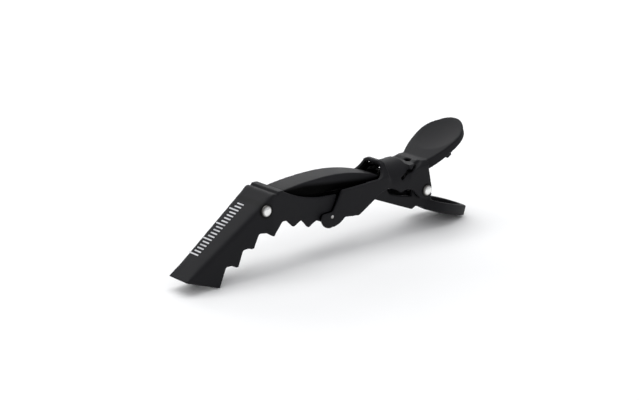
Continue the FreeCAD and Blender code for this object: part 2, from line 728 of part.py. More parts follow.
def lower_jaw():
    beam = new_body("lower_beam")
    lug_back = ("size.main_pin_x + size.lug_r", "size.main_pin_z + 0.4")
    outline = [
        "lower_nose_top",
        "lower_brow_top",
        "lower_throat_top",
        "lower_knuckle_top",
        "lower_back",
        "lower_scoop_edge",
        "lower_scoop_start",
        "lower_scoop_mid",
        "lower_scoop_end",
        "lever_shoulder",
        Arc(lug_back, "-size.lever_back_round"),
        "lever_heel",
        "lever_nick",
        "lever_corner",
        "lever_front",
        "lower_step",
        "lower_belly",
        "lower_knuckle",
        "lower_throat",
        "lower_brow",
        "lower_chin",
        "lower_nose",
    ]
    grow(beam, "lower_sides", draw(beam, "lower_outline", "XZ", outline), "4 * size.front_y")
    for side, trim in zip(("left", "right"), lower_trims("0")):
        carve(beam, f"lower_taper_{side}", draw(beam, f"lower_plan_{side}", "XY", trim))
    hollow = new_body("lower_hollow")
    floor = "size.lower_floor"
    sketch = draw(hollow, "lower_hollow_outline", "XZ", [
        ("size.lower_nose_x + 1.6", f"size.lower_nose_z + {floor} + 0.4"),
        ("size.lower_chin_x", f"size.lower_chin_z + {floor}"),
        ("size.lower_brow_x", f"size.lower_brow_z + {floor} + 0.2"),
        ("size.lower_throat_x", f"size.lower_throat_z + {floor}"),
        ("size.lower_knuckle_x", f"size.lower_knuckle_z + {floor}"),
        ("size.lower_belly_x", f"size.lower_belly_z + {floor}"),
        ("size.lower_step_x", f"size.lower_step_z + {floor}"),
        ("size.lever_front_x + 0.5", f"size.lever_front_z + {floor}"),
        ("size.lever_corner_x", f"size.lever_corner_z + {floor} + 0.2"),
        ("size.tail_reach", f"size.lever_heel_z + {floor}"),
        ("size.tail_reach", "size.crown_z"),
        ("size.lower_nose_x + 1.6", "size.crown_z"),
    ])
    grow(hollow, "lower_hollow_block", sketch, "4 * size.front_y")
    for side, trim in zip(("left", "right"), lower_trims("size.wall")):
        carve(hollow, f"lower_hollow_{side}", draw(hollow, f"lower_hollow_plan_{side}", "XY", trim))
    finger_top = cut("finger_top", lever("finger"), dish("finger"))
    finger_top.setExpression("Placement", "placement(vector(size.finger_root_x; 0; size.finger_root_z);"
                             " rotation(vector(0; 1; 0); size.finger_tilt) * rotation(vector(1; 0; 0); 180))")
    channel = cut("lower_channel", beam, hollow, grip_comb())
    wide = "2 * size.cheek_y"
    bore = rod("lever_bore", "size.main_pin_r + size.running_fit", "size.main_pin_x", "size.main_pin_z",
               f"-{wide}", wide)
    return stand(cut("lower_jaw", fuse("lower_blank", channel, finger_top), bore))


# ---------------------------------------------------------------- bow
def bow():
    band = new_body("bow_band")
    eye_x = "size.front_pin_x"
    under = "size.bow_thick"
    belly = "size.crown_z - 0.3 - size.bow_depth"
    web_low = f"{belly} - size.bow_web_drop"
    outline = [
        (f"{eye_x} + 0.2", f"{FRONT_PIN_Z} + 0.8"),
        ("size.roof_end_x - 2.6", "size.crown_z - 2.6"),
        ("size.roof_end_x + 1.5", "size.crown_z - 1.3"),
        Arc(("-size.bow_thick", "size.crown_z - 0.3"), "-size.bow_front_sweep"),
        Arc(("size.arch_top_x + 0.8", "size.shoulder_z - 0.3"), "-size.bow_rear_sweep"),
        ("size.bow_ear_x + 0.8", f"size.bow_ear_z + {under} * 0.1"),
        ("size.bow_ear_x + 0.8", f"size.bow_ear_z - {under} * 0.4"),
        ("size.arch_top_x + 0.3", f"size.shoulder_z - 0.3 - {under}"),
        Arc(("size.tail_top_x", belly), "size.bow_under_rear"),
        Arc(("size.roof_end_x + 1.9", f"size.crown_z - 1.3 - {under}"), "-size.bow_under_front"),
        (f"{eye_x} + 1.8", f"{FRONT_PIN_Z} - 1.0"),
        (f"{eye_x} + 0.2", f"{FRONT_PIN_Z} - 1.4"),
    ]
    grow(band, "bow_sides", draw(band, "bow_outline", "XZ", outline), "2 * size.bow_y")
    web = new_body("bow_web")
    grow(web, "bow_web_sides", draw(web, "bow_web_outline", "XZ", [
        ("size.tail_top_x - 10", f"{belly} + 1.6"),
        ("size.tail_top_x - 6", f"{web_low} + 0.5"),
        ("size.tail_top_x", web_low),
        ("size.arch_foot_x", web_low),
        ("size.arch_foot_x + 1", "size.shoulder_z - 1.3"),
        ("size.tail_top_x", f"{belly} + 1"),
    ]), "2 * (size.knuckle_y - size.wall - size.bow_web_gap)")
    eye = rod("bow_eye", "size.bow_eye_r", eye_x, FRONT_PIN_Z, "-size.bow_y", "size.bow_y")
    ears = doc.addObject("Part::Box", "bow_ears")
    thick = "size.slot_width - 2 * size.slot_play"
    ears.setExpression("Length", "1.4 * size.slot_width")
    ears.setExpression("Width", "2 * (size.cheek_y - 0.3)")
    ears.setExpression("Height", thick)
    ears.setExpression(
        "Placement",
        "placement(vector("
        f"size.bow_ear_x - 0.7 * size.slot_width * cos(size.slot_tilt) + ({thick}) / 2 * sin(size.slot_tilt);"
        " -(size.cheek_y - 0.3);"
        f" size.bow_ear_z - 0.7 * size.slot_width * sin(size.slot_tilt) - ({thick}) / 2 * cos(size.slot_tilt));"
        " rotation(vector(0; 1; 0); -size.slot_tilt))")
    pin_hole = rod("bow_bore", "size.front_pin_r + size.running_fit", eye_x, FRONT_PIN_Z,
                   "-2 * size.bow_y", "2 * size.bow_y")
    relief = doc.addObject("Part::Box", "bow_eye_relief")
    relief.setExpression("Length", "4 * size.bow_eye_r")
    relief.setExpression("Width", "4 * size.bow_y")
    relief.setExpression("Height", "4 * size.bow_eye_r")
    tilt = f"atan({HEAD_SLOPE})"
    relief.setExpression(
        "Placement",
        "placement(vector("
        f"size.front_pin_x - size.bow_eye_flat * sin({tilt}) - 2.6 * size.bow_eye_r * cos({tilt});"
        f" -2 * size.bow_y; {FRONT_PIN_Z} + size.bow_eye_flat * cos({tilt}) - 2.6 * size.bow_eye_r * sin({tilt}));"
        f" rotation(vector(0; 1; 0); -{tilt}))")
    return stand(cut("bow", fuse("bow_blank", band, web, eye, ears), pin_hole, relief))


# ---------------------------------------------------------------- rivets and pins
def rivet(name, pin_r, seat_y, x, z):
    """A rivet across the clip: a domed head on the near side and a rolled-over end on the far side."""
    body = new_body(name)
    sketch = draw(body, name + "_profile", "XY", [
        ("0", f"-({seat_y}) - size.rivet_rim - size.rivet_head_rise"),
        Arc(("size.rivet_head_r", f"-({seat_y}) - size.rivet_rim"),
            "(size.rivet_head_r ^ 2 + size.rivet_head_rise ^ 2) / (2 * size.rivet_head_rise)"),
        ("size.rivet_head_r", f"-({seat_y})"),
        (pin_r, f"-({seat_y})"),
        (pin_r, f"{seat_y}"),
        ("size.peen_r", f"{seat_y}"),
        Arc(("size.peen_r * 0.55", f"{seat_y} + size.peen_rise"), "size.peen_rise * 1.2"),
        ("0", f"{seat_y} + size.peen_rise * 0.8"),
    ])
    turn = body.newObject("PartDesign::Revolution", name + "_turned")
    turn.Profile = sketch
    turn.ReferenceAxis = (origin_plane(body, "Y_Axis"), [""])
    turn.Angle = 360
    return stand(body, x, z)


def knuckle_pins():
    inner = "size.lower_neck_y + size.body_gap + 0.1"
    outer = "size.lobe_y - 0.05"
    place = ("size.centre_x", "size.stand_height")
    near = rod("knuckle_pin_left", "size.knuckle_pin_r", *place, f"-({outer})", f"-({inner})")
    far = rod("knuckle_pin_right", "size.knuckle_pin_r", *place, inner, outer)
    return near, far


# ---------------------------------------------------------------- torsion spring
def torsion_spring():
    """A coil round the main rivet whose legs run back under the two levers."""
    mean = "(size.main_pin_r + size.coil_play + size.wire_r)"
    coil = new_body("spring_coil")
    wire = coil.newObject("Sketcher::SketchObject", "wire_section")
    wire.AttachmentSupport = [(origin_plane(coil, "YZ_Plane"), "")]
    wire.MapMode = "FlatFace"
    half = "size.coil_turns * size.coil_pitch / 2"
    middle = FreeCAD.Vector(-read(half), read(mean), 0)
    wire.addGeometry(Part.Circle(middle, FreeCAD.Vector(0, 0, 1), read("size.wire_r")))
    for kind, number, expression in (("DistanceX", middle.x, "-" + half), ("DistanceY", middle.y, mean)):
        held = wire.addConstraint(Sketcher.Constraint(kind, -1, 1, 0, 3, number))
        wire.setExpression(f"Constraints[{held}]", expression)
    held = wire.addConstraint(Sketcher.Constraint("Radius", 0, read("size.wire_r")))
    wire.setExpression(f"Constraints[{held}]", "size.wire_r")
    helix = coil.newObject("PartDesign::AdditiveHelix", "wire_turns")
    helix.Profile = wire
    helix.ReferenceAxis = (origin_plane(coil, "Y_Axis"), [""])
    helix.Mode = "pitch-turns-angle"
    helix.setExpression("Pitch", "size.coil_pitch")
    helix.setExpression("Turns", "size.coil_turns")
    legs = []
    for name, length, turn, y, rise in (
            ("upper_leg", "size.upper_leg_length", "90 - size.upper_leg_tilt", f"-{half}", mean),
            ("lower_leg", "size.lower_leg_length", "90 + size.lower_leg_tilt", half, f"-{mean}")):
        leg = doc.addObject("Part::Cylinder", name)
        leg.setExpression("Radius", "size.wire_r")
        leg.setExpression("Height", length)
        leg.setExpression("Placement", f"placement(vector(0; {y}; {rise}); rotation(vector(0; 1; 0); {turn}))")
        legs.append(leg)
    spring = fuse("torsion_spring", coil, *legs)
    return stand(spring, "size.main_pin_x", "size.main_pin_z")


# ---------------------------------------------------------------- build, check and write
fill_sheet()
front, FRONT_FACE = front_jaw()
pieces = {
    "front_jaw": front,
    "rear_jaw": rear_jaw(),
    "lower_jaw": lower_jaw(),
    "bow": bow(),
    "front_rivet": rivet("front_rivet", "size.front_pin_r", FRONT_FACE, "size.front_pin_x", FRONT_PIN_Z),
    "main_rivet": rivet("main_rivet", "size.main_pin_r", "size.cheek_y - size.rivet_seat", "size.main_pin_x",
                        "size.main_pin_z"),
    "torsion_spring": torsion_spring(),
}
pieces["knuckle_pin_left"], pieces["knuckle_pin_right"] = knuckle_pins()
doc.recompute()

for thing in doc.Objects:
    if "Invalid" in thing.State or "Error" in thing.State:
        raise RuntimeError(thing.Name + " failed to build")
os.makedirs("parts", exist_ok=True)
for name, piece in pieces.items():
    shape = piece.Shape
    if shape.isNull() or not shape.isValid() or len(shape.Solids) != 1:
        raise RuntimeError(name + " is not one valid solid")
    shape.exportStep(f"parts/{name}.step")
    box = shape.BoundBox
    print(f"{name}: {shape.Volume:.1f} mm3, x {box.XMin:.2f} to {box.XMax:.2f}, y {box.YMin:.2f} to {box.YMax:.2f},"
          f" z {box.ZMin:.2f} to {box.ZMax:.2f}")
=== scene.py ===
# %% [markdown]
# # A sectioning clip
# Hairdressers hold sections of hair apart with this long double-hinged clip. The mouldings are soft-touch
# black plastic, the two rivets are bright domes, and a coil spring sits between the levers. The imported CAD
# parts give every size and place, so this script only gives them their rounded edges and their finishes.

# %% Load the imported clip
import json
import math

import bpy
import numpy as np
from mathutils import Matrix, Vector
from mathutils.bvhtree import BVHTree


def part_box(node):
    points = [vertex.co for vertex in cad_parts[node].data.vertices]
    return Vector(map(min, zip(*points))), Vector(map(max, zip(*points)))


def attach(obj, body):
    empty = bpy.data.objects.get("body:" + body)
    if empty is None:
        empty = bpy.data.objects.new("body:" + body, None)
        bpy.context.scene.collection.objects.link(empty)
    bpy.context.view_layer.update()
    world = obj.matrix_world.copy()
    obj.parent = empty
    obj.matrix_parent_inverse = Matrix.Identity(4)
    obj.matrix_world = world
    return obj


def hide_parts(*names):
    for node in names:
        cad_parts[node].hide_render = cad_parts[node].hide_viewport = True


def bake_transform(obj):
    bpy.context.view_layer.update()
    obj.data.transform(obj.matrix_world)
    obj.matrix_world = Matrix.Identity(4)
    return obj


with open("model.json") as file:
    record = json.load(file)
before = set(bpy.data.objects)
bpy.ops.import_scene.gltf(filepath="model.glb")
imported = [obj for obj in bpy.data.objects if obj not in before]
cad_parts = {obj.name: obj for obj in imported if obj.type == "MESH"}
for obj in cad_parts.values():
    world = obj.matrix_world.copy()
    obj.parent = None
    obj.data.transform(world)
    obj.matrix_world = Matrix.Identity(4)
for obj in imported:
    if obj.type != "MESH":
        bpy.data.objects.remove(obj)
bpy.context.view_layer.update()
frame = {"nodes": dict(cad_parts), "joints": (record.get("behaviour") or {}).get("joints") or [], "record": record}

MM = 0.001

# %% [markdown]
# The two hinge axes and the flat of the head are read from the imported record. Everything that follows is
# placed from them, so nothing has to be fitted by eye.

# %% Find the hinges and the flat of the head
hinges = {joint["name"]: Vector(joint["pos_m"]) for joint in frame["joints"]}
KNUCKLE = hinges["knuckle_hinge"]
MAIN_PIN = hinges["lower_jaw_hinge"]
badge = next(mount for mount in frame["record"]["mounts"] if mount["name"] == "badge_face")
FACE_POINT = Vector(badge["pos_m"])
FACE_NORMAL = Vector(badge["axis"]).normalized()
FACE_UPHILL = Vector((0, 1, 0)).cross(FACE_NORMAL).normalized()
rivet_low, rivet_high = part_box("front_rivet")
FRONT_PIN = (rivet_low + rivet_high) / 2
print("knuckle", KNUCKLE, "main pin", MAIN_PIN, "uphill on the head", FACE_UPHILL)

# %% [markdown]
# ## The camera
# It stands in front of the nose and to one side, a little above the clip, with a long lens, so that the
# clip's far end hardly shrinks.

# %% Place the camera
AZIMUTH = math.radians(-41)
ELEVATION = math.radians(18)
DISTANCE = 0.526
towards_camera = Vector((math.sin(AZIMUTH) * math.cos(ELEVATION), -math.cos(AZIMUTH) * math.cos(ELEVATION),
                         math.sin(ELEVATION)))
aim = KNUCKLE + Vector((0.46, 0, 3.62)) * MM
camera = bpy.data.objects.new("studio_camera", bpy.data.cameras.new("studio_camera"))
camera.data.lens = 100
camera.data.sensor_width = 36
camera.data.clip_start = 0.01
camera.location = aim + towards_camera * DISTANCE
camera.rotation_euler = towards_camera.to_track_quat("Z", "Y").to_euler()
bpy.context.scene.collection.objects.link(camera)
bpy.context.scene.camera = camera
print("camera at", camera.location)

# %% [markdown]
# ## Shader maths as plain expressions
# A finish is easier to read as `grain * 0.2 + wear` than as a chain of boxes. `Value` wraps one output
# socket and adds a Math node for each operator. `Finish` owns one material and makes every other node.


# %% A socket that can be used like a number
class Value:
    """One output socket of a material."""

    def __init__(self, finish, socket):
        self.finish = finish
        self.socket = socket

    def __add__(self, other):
        return self.finish.math("ADD", self, other)

    def __sub__(self, other):
        return self.finish.math("SUBTRACT", self, other)

    def __rsub__(self, other):
        return self.finish.math("SUBTRACT", other, self)

    def __mul__(self, other):
        return self.finish.math("MULTIPLY", self, other)

    def __truediv__(self, other):
        return self.finish.math("DIVIDE", self, other)

    __radd__ = __add__
    __rmul__ = __mul__


# %% A material that is written in Python
class Finish:
    """One material: a Principled shader and the nodes that feed it."""

    def __init__(self, name, **fixed):
        self.material = bpy.data.materials.new(name)
        self.material.use_nodes = True
        self.tree = self.material.node_tree
        self.shader = next(node for node in self.tree.nodes if node.type == "BSDF_PRINCIPLED")
        for socket, value in fixed.items():
            self.shader.inputs[socket.replace("_", " ")].default_value = value

    def node(self, kind, settings=None, sockets=None):
        """Adds a node, with its settings set first, then the values or links of its sockets."""
        node = self.tree.nodes.new(kind)
        for name, value in (settings or {}).items():
            if name == "stops":
                self.set_stops(node.color_ramp, value)
            else:
                setattr(node, name, value)
        for name, value in (sockets or {}).items():
            socket = node.inputs[name] if isinstance(name, int) else next(
                item for item in node.inputs if item.name == name and item.enabled)
            self.feed(socket, value)
        return {item.name: Value(self, item) for item in node.outputs if item.enabled}

    def set_stops(self, ramp, stops):
        while len(ramp.elements) < len(stops):
            ramp.elements.new(1)
        for element, (place, shade) in zip(ramp.elements, stops):
            element.position = place
            element.color = (shade, shade, shade, 1)

    def feed(self, socket, value):
        if isinstance(value, Value):
            self.tree.links.new(value.socket, socket)
        else:
            socket.default_value = value

    def math(self, operation, *terms):
        return self.node("ShaderNodeMath", {"operation": operation}, dict(enumerate(terms)))["Value"]

    def place(self):
        return self.node("ShaderNodeTexCoord")["Object"]

    def noise(self, size, detail=2.0, stretch=(1, 1, 1)):
        """Soft random values from 0 to 1, whose blotches are about `size` mm wide."""
        spread = self.node("ShaderNodeMapping", None, {"Vector": self.place(), "Scale": stretch})["Vector"]
        return self.node("ShaderNodeTexNoise", None,
                         {"Vector": spread, "Scale": 1 / (size * MM), "Detail": detail})["Fac"]

    def ramp(self, value, *stops):
        return self.node("ShaderNodeValToRGB", {"stops": stops}, {"Fac": value})["Color"]

    def blend(self, share, first, second):
        """A colour that goes from the first to the second as the share goes from 0 to 1."""
        return self.node("ShaderNodeMix", {"data_type": "RGBA"},
                         {"Factor": share, "A": (*first, 1) if isinstance(first, tuple) else first,
                          "B": (*second, 1) if isinstance(second, tuple) else second})["Result"]

    def vector_math(self, operation, *terms):
        """The outputs of a Vector Math node: Vector, or Value for a length."""
        return self.node("ShaderNodeVectorMath", {"operation": operation}, dict(enumerate(terms)))

    def away_from(self, centre):
        """The way from a centre to the shaded point."""
        return self.vector_math("SUBTRACT", self.place(), centre)["Vector"]

    def from_axis(self, centre):
        """Distance in mm from a rivet's axis, which runs across the clip."""
        flat = self.vector_math("MULTIPLY", self.away_from(centre), (1 / MM, 0, 1 / MM))["Vector"]
        return self.vector_math("LENGTH", flat)["Value"]

    def relief(self, height, depth):
        """Feeds a Bump node: `height` from 0 to 1 stands for `depth` mm."""
        bump = self.node("ShaderNodeBump", None, {"Height": height, "Distance": depth * MM, "Strength": 1.0})
        self.feed(self.shader.inputs["Normal"], bump["Normal"])

    def colour(self, value):
        self.feed(self.shader.inputs["Base Color"], value)

    def roughness(self, value):
        self.feed(self.shader.inputs["Roughness"], value)

    def metallic(self, value):
        self.feed(self.shader.inputs["Metallic"], value)


print("shader helpers ready")

# %% [markdown]
# ## Soft-touch black plastic
# The mouldings are sprayed with a rubbery matt black paint. It has a fine even grain, a faint cloudiness
# where it lies thicker, a slight polish on the edges that fingers rub, and a dark ring round a rivet that is
# painted shade of the seat groove, with some dirt in it.
# Pointiness finds the edges on a finely divided mesh, which is one reason to remesh the mouldings below.
#
# Two kinds of place are painted darker than the light alone would leave them: the recesses, from the share
# stored on the mesh further below, and the lower sides of the bow. There the finish turns into a metal of
# almost no colour, which gives back nearly nothing, not even a sheen.


# %% Find where shadow is painted on the sides of the bow
SHADOW_TOP = 11.7       # mm above the knuckle, where the shadow starts on the front half of the bow
FALL_START = -9.0       # mm past the knuckle, from where the shadow line falls towards the levers
SHADOW_FALL = 0.125     # mm down for each mm along
SHADOW_FADE = 1.2       # mm from clear to black
EAR_START = 25.0        # mm past the knuckle; the ears beyond it sit in their slots and are painted black as shade


def painted_bow_shadow(finish):
    """Painted shadow: 0 above the line where the bow's sides go into shadow, 1 below it and on its ears."""
    past_knuckle = finish.node("ShaderNodeSeparateXYZ", None, {"Vector": finish.away_from(KNUCKLE)})
    along, up = past_knuckle["X"] / MM, past_knuckle["Z"] / MM
    falling = finish.math("MAXIMUM", along - FALL_START, 0.0)
    below = SHADOW_TOP - falling * SHADOW_FALL - up
    ears = finish.math("GREATER_THAN", along, EAR_START)
    return finish.math("MAXIMUM", finish.ramp(below / SHADOW_FADE, (0.0, 0.0), (1.0, 1.0)), ears)


# %% Make the soft-touch finish
RING_REACH = 4.0        # mm from a rivet's axis that the ring's ramp covers
RING_SHADE_AND_DIRT = (0.001, 0.001, 0.001)
# Near-black colour of the painted shade in recesses and on the bow's lower sides.
PAINTED_SHADE_BLACK = (0.0006, 0.0006, 0.0006)


def soft_touch(name, black, ring_centre=None, grain=0.16, painted_side_shadow=False):
    """Matt black plastic; a ring of painted shade and dirt round ring_centre, or painted shadow on lower sides."""
    finish = Finish(name, Specular_IOR_Level=0.17)
    rubbed = finish.ramp(finish.node("ShaderNodeNewGeometry")["Pointiness"], (0.52, 0.0), (0.60, 1.0))
    cloudy = finish.noise(7.0, 3.0)
    fine = finish.noise(grain, 3.0)
    worn = rubbed * finish.ramp(finish.noise(1.1, 4.0), (0.40, 0.15), (0.65, 1.0))
    pale = tuple(channel * 1.55 for channel in black)
    rub = tuple(channel * 2.6 for channel in black)
    shade = finish.blend(finish.ramp(cloudy, (0.35, 0.0), (0.70, 1.0)) * 0.55 + fine * 0.30, black, pale)
    shade = finish.blend(worn * 0.55, shade, rub)
    if ring_centre is not None:
        # The dark ring is painted shade of the seat groove round the rivet, with some dirt in it.
        ring = finish.ramp(finish.from_axis(ring_centre) / RING_REACH, (0.52, 1.0), (0.64, 0.0))
        shade = finish.blend(ring * 0.95, shade, RING_SHADE_AND_DIRT)
    # Painted shade: the deeper a vertex lies in a recess, the nearer its colour goes to a black, sheen-less metal.
    recess = finish.node("ShaderNodeAttribute", {"attribute_name": "recess"})["Fac"]
    painted_shade = finish.ramp(recess, (0.36, 0.0), (0.75, 1.0))
    # Painted shadow on the bow's lower sides and ears joins the painted shade of the recesses.
    if painted_side_shadow:
        painted_shade = finish.math("MAXIMUM", painted_shade, painted_bow_shadow(finish))
    finish.colour(finish.blend(painted_shade, shade, PAINTED_SHADE_BLACK))
    finish.metallic(painted_shade)
    finish.roughness(0.50 + cloudy * 0.10 + fine * 0.08 - worn * 0.14)
    finish.relief(fine * 0.7 + finish.noise(grain * 3, 2.0) * 0.3, 0.012)
    return finish.material


BLACK = (0.0042, 0.0042, 0.0054)
front_black = soft_touch("soft_touch_head", BLACK, FRONT_PIN)
rear_black = soft_touch("soft_touch_cheeks", BLACK, MAIN_PIN)
lower_black = soft_touch("soft_touch_lower", tuple(channel * 0.9 for channel in BLACK))
bow_black = soft_touch("flexible_bow", tuple(channel * 1.1 for channel in BLACK), grain=0.10, painted_side_shadow=True)
print("soft-touch finishes:", front_black.name, rear_black.name, lower_black.name, bow_black.name)

# %% [markdown]
# ## Metals
# The rivet heads are nickel-plated and dome-shaped. They carry hairline scratches and grow rougher towards
# the rim, where a dark reflection is painted into their colour. The spring wire is drawn, so its marks run
# along it, with a brown oil film.


# %% Make the rivet finish
def nickel(name, centre, radius):
    """Bright plating on a rivet whose axis goes through centre."""
    finish = Finish(name, Metallic=1.0)
    rim = finish.ramp(finish.from_axis(centre) / (radius / MM), (0.62, 0.0), (0.90, 1.0))
    scratches = finish.ramp(finish.noise(0.22, 5.0, (1, 1, 9)), (0.48, 0.0), (0.62, 1.0))
    pitted = finish.ramp(finish.noise(0.35, 2.0), (0.60, 0.0), (0.72, 1.0))
    shade = finish.blend(scratches * 0.25 + pitted * 0.2, (0.86, 0.86, 0.84), (0.62, 0.61, 0.58))
    # Painted reflection: the colour goes dark towards the rim of the dome.
    finish.colour(finish.blend(rim * 0.92, shade, (0.05, 0.045, 0.04)))
    finish.roughness(0.16 + scratches * 0.10 + pitted * 0.12 + rim * 0.14)
    finish.relief(scratches * 0.6 + pitted * 0.4, 0.004)
    return finish.material


RIVET_RADIUS = 1.75 * MM
front_nickel = nickel("nickel_front_rivet", FRONT_PIN, RIVET_RADIUS)
main_nickel = nickel("nickel_main_rivet", MAIN_PIN, RIVET_RADIUS)
print("nickel finishes:", front_nickel.name, main_nickel.name)


# %% Make the wire and pin finish
def drawn_steel(name, steel, film):
    """Wire drawn through a die, with a thin film of old oil."""
    finish = Finish(name, Metallic=1.0)
    drawn = finish.noise(0.12, 4.0, (1, 4, 1))
    oily = finish.ramp(finish.noise(1.6, 3.0), (0.45, 0.0), (0.68, 1.0))
    finish.colour(finish.blend(oily * 0.7 + drawn * 0.2, steel, film))
    finish.roughness(0.26 + drawn * 0.16 + oily * 0.12)
    finish.relief(drawn, 0.006)
    return finish.material


spring_steel = drawn_steel("drawn_spring_wire", (0.40, 0.40, 0.41), (0.16, 0.13, 0.10))
pin_steel = drawn_steel("drawn_pin", (0.55, 0.55, 0.56), (0.30, 0.28, 0.25))
for side in ("left", "right"):
    pin = frame["nodes"][f"knuckle_pin_{side}"]
    pin.data.materials.clear()
    pin.data.materials.append(pin_steel)
print("steel finishes:", spring_steel.name, pin_steel.name)


# %% Make the silver ink
def silver_ink(name):
    """Pad-printed ink full of metal flakes, thinner and duller in places."""
    finish = Finish(name, Metallic=0.35, Specular_IOR_Level=0.5)
    thin = finish.ramp(finish.noise(2.6, 3.0), (0.42, 0.0), (0.70, 1.0))
    flakes = finish.noise(0.05, 1.0)
    finish.colour(finish.blend(thin * 0.55 + flakes * 0.25, (0.62, 0.62, 0.64), (0.28, 0.28, 0.30)))
    finish.roughness(0.34 + flakes * 0.2 + thin * 0.1)
    finish.relief(flakes, 0.004)
    return finish.material


ink = silver_ink("silver_ink")
print("ink:", ink.name)

# %% [markdown]
# ## Rounded mouldings
# A moulding never has knife edges: the tool gives each one a small radius, and the paint fills the corners.
# Bevels would have to find their way round hundreds of small CAD facets. A voxel remesh gives an even skin
# instead, and moving each vertex towards its neighbours rounds every edge alike. Some edges get more passes.


# %% Take an even skin from a CAD part
def even_skin(node, voxel):
    """A new object with the CAD node's shape as an even mesh of small quads."""
    mesh = frame["nodes"][node].data.copy()
    mesh.materials.clear()
    piece = bpy.data.objects.new(node + "_moulding", mesh)
    bpy.context.scene.collection.objects.link(piece)
    remesh = piece.modifiers.new("even_skin", "REMESH")
    remesh.mode = "VOXEL"
    remesh.voxel_size = voxel
    remesh.use_smooth_shade = True
    return settle(piece)


def settle(piece):
    """Turns a piece and its modifiers into a plain mesh."""
    evaluated = piece.evaluated_get(bpy.context.evaluated_depsgraph_get())
    mesh = bpy.data.meshes.new_from_object(evaluated)
    piece.modifiers.clear()
    piece.data = mesh
    return piece


# %% Round edges by relaxing the skin
def vertex_places(piece):
    flat = np.empty(len(piece.data.vertices) * 3)
    piece.data.vertices.foreach_get("co", flat)
    return flat.reshape(-1, 3)


def relax(piece, passes, weight=None):
    """Moves each vertex towards the middle of its neighbours, as far as its weight allows."""
    places = vertex_places(piece)
    ends = np.empty(len(piece.data.edges) * 2, int)
    piece.data.edges.foreach_get("vertices", ends)
    first, second = ends.reshape(-1, 2).T
    count = len(places)
    neighbours = np.bincount(ends, minlength=count)
    share = 0.5 if weight is None else 0.5 * weight
    for _ in range(passes):
        for axis in range(3):
            line = places[:, axis]
            total = np.bincount(first, line[second], count) + np.bincount(second, line[first], count)
            places[:, axis] = line + share * (total / neighbours - line)
    piece.data.vertices.foreach_set("co", places.ravel())
    piece.data.update()


def finish_moulding(piece, node, material):
    """Gives a moulding its material and smooth faces, and hides its CAD node."""
    piece.data.materials.clear()
    piece.data.materials.append(material)
    piece.data.polygons.foreach_set("use_smooth", [True] * len(piece.data.polygons))
    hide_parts(node)
    print(piece.name, len(piece.data.polygons), "faces")


# %% [markdown]
# The front jaw is a channel with teeth on both walls. The long edges between its sloping face and its sides
# are the softest on the clip, so they are relaxed more than the rest, and the teeth stay crisp.

# %% Mould the front jaw
SKIN = 0.22 * MM
NOSE_HALF_WIDTH = 4.2488    # mm
HEAD_TAPER = 0.0744         # how much each side widens for each mm up the head
HEAD_LENGTH = 31.0          # mm from the tip of the nose to where the soft edges end
front_jaw = even_skin("front_jaw", SKIN)
relax(front_jaw, 7)
places = vertex_places(front_jaw)
below_face = -(places - np.array(FACE_POINT)) @ np.array(FACE_NORMAL) / MM
along_head = (places[:, 0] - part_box("front_jaw")[0].x) / MM
from_side = NOSE_HALF_WIDTH + along_head * HEAD_TAPER - abs(places[:, 1]) / MM
near_edge = np.clip(1.6 - np.hypot(below_face, from_side) * 0.55, 0, 1)
on_head = np.clip((HEAD_LENGTH - along_head) / 3, 0, 1)
off_nose = np.clip((along_head - 1.0) / 4, 0, 1)
relax(front_jaw, 45, near_edge * on_head * off_nose)
finish_moulding(front_jaw, "front_jaw", front_black)
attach(front_jaw, "front_jaw")

# %% [markdown]
# The rear jaw carries the arch that the bow passes under, the crest with its slots, and the thumb lever.
# Where the arch runs into the round roof behind it, the step is blended more softly.

# %% Mould the rear jaw
ARCH_END = 22.9         # mm past the knuckle
CHEEK_INSIDE = 5.7      # mm from the middle, where the outer skin of a cheek starts
STEP_FOOT = 3.0         # mm above the knuckle, where the step runs out
rear_jaw = even_skin("rear_jaw", SKIN)
relax(rear_jaw, 7)
along, sideways, up = ((vertex_places(rear_jaw) - (KNUCKLE.x, 0, KNUCKLE.z)) / MM).T
near_step = np.clip(1.5 - abs(along - ARCH_END) / 1.6, 0, 1)
outside = np.clip((abs(sideways) - CHEEK_INSIDE) / 0.3, 0, 1)
above = np.clip(up - STEP_FOOT, 0, 1)
relax(rear_jaw, 40, near_step * outside * above)
finish_moulding(rear_jaw, "rear_jaw", rear_black)
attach(rear_jaw, "rear_jaw")

# %% Mould the lower jaw
lower_jaw = even_skin("lower_jaw", SKIN)
relax(lower_jaw, 6)
finish_moulding(lower_jaw, "lower_jaw", lower_black)
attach(lower_jaw, "lower_jaw")

# %% [markdown]
# ## The bow
# The bow is an elastic band of nylon. Its eye hooks the front rivet and its ears sit in the rear jaw's slots,
# so it bends when the front jaw lifts.

# %% Mould the bow
bow = even_skin("bow", 0.2 * MM)
relax(bow, 14)
finish_moulding(bow, "bow", bow_black)
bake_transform(bow)

# %% [markdown]
# ### Recesses
# Hardly any light comes back out from between the walls of the channels. Each vertex looks out straight and
# in six slanted directions, and the share of looks that a wall stops within a few millimetres is stored on
# it, for the finish to paint in as shade. It is measured once, with the clip at rest, and stays so in every pose.

# %% Gather the walls of the four mouldings
mouldings = [front_jaw, rear_jaw, lower_jaw, bow]
corners, walls = [], []
for piece in mouldings:
    start = len(corners)
    corners += [Vector(place) for place in vertex_places(piece)]
    walls += [[start + corner for corner in face.vertices] for face in piece.data.polygons]
wall_tree = BVHTree.FromPolygons(corners, walls)
print(len(walls), "faces can stand in the way")

# %% Store how deep in a recess each vertex lies
LOOK_REACH = 7 * MM
LOOK_START = 0.15 * MM      # clear of the vertex's own faces
SLANT = 0.9
looks = [Vector((0, 0, 0))]
for axis in range(3):
    for slant in (SLANT, -SLANT):
        looks.append(Vector([slant if axis == own else 0 for own in range(3)]))


